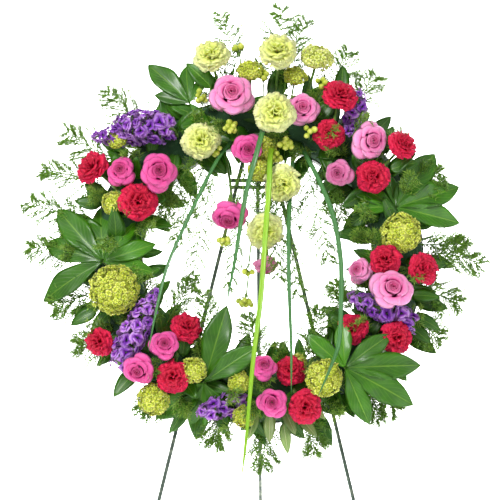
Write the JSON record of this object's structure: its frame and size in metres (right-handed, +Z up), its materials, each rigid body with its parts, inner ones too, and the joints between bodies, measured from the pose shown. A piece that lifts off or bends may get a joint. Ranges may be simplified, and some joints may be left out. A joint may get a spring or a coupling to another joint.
{
  "type": "funeral wreath on a wire easel",
  "caption": "Ring of fresh flowers and foliage in floral foam, standing on a folding three-legged wire easel.",
  "frame": {"origin": "middle of the bounding box's base, on the floor between the three feet", "axes": "+Z up, -Y the way the wreath faces, +X to the wreath's right as it is seen from the front"},
  "size_m": [0.709, 0.6508, 1.3291],
  "materials": {
    "wire": "gloss enamel",
    "tray": "matte",
    "foam": "matte open cell",
    "rose_petal": "satin",
    "lime_petal": "satin",
    "red_petal": "satin",
    "hydrangea_floret": "matte",
    "stock_floret": "matte",
    "glossy_leaf": "gloss",
    "grass": "satin",
    "fern": "matte"
  },
  "bodies": {
    "stand_and_wreath": {"carnation_spray_01": "red_petal", "carnation_spray_02": "red_petal", "carnation_spray_03": "red_petal", "carnation_spray_04": "red_petal", "carnation_spray_05": "red_petal", "carnation_spray_06": "red_petal", "carnation_spray_07": "red_petal", "fatsia_leaf_01": "glossy_leaf", "fatsia_leaf_02": "glossy_leaf", "fatsia_leaf_03": "glossy_leaf", "fatsia_leaf_04": "glossy_leaf", "fatsia_leaf_05": "glossy_leaf", "fern_frond_01": "fern", "fern_frond_02": "fern", "fern_frond_03": "fern", "fern_frond_04": "fern", "foam_ring": "foam", "front_leg_left": "wire", "front_leg_right": "wire", "grass_blade_01": "grass", "grass_blade_02": "grass", "grass_blade_03": "grass", "grass_blade_04": "grass", "grass_blade_05": "grass", "green_carnation_01": "lime_petal", "green_carnation_02": "lime_petal", "green_carnation_03": "lime_petal", "green_carnation_04": "lime_petal", "green_carnation_05": "lime_petal", "green_carnation_06": "lime_petal", "hanging_loop": "wire", "hydrangea_01": "hydrangea_floret", "hydrangea_02": "hydrangea_floret", "hydrangea_03": "hydrangea_floret", "hydrangea_04": "hydrangea_floret", "hydrangea_05": "hydrangea_floret", "pivot_wire": "wire", "red_carnation_01": "red_petal", "rest_wire": "wire", "ring_tray": "tray", "rose_01": "rose_petal", "rose_02": "rose_petal", "rose_03": "rose_petal", "rose_04": "rose_petal", "rose_05": "rose_petal", "rose_06": "rose_petal", "rose_07": "rose_petal", "rose_08": "rose_petal", "rose_09": "rose_petal", "rose_10": "rose_petal", "rose_11": "rose_petal", "rose_12": "rose_petal", "rose_13": "rose_petal", "rose_14": "rose_petal", "rose_15": "rose_petal", "stock_01": "stock_floret", "stock_02": "stock_floret", "stock_03": "stock_floret", "stop_wire": "wire"},
    "rear_leg": {"rear_leg": "wire"}
  },
  "joints": [
    {"name": "rear_leg_fold", "type": "hinge", "parent": "stand_and_wreath", "child": "rear_leg", "pos_m": [0.00755, -0.0957, 1.03434], "axis": [1, 0, 0], "range_deg": [-32, 0]}
  ]
}
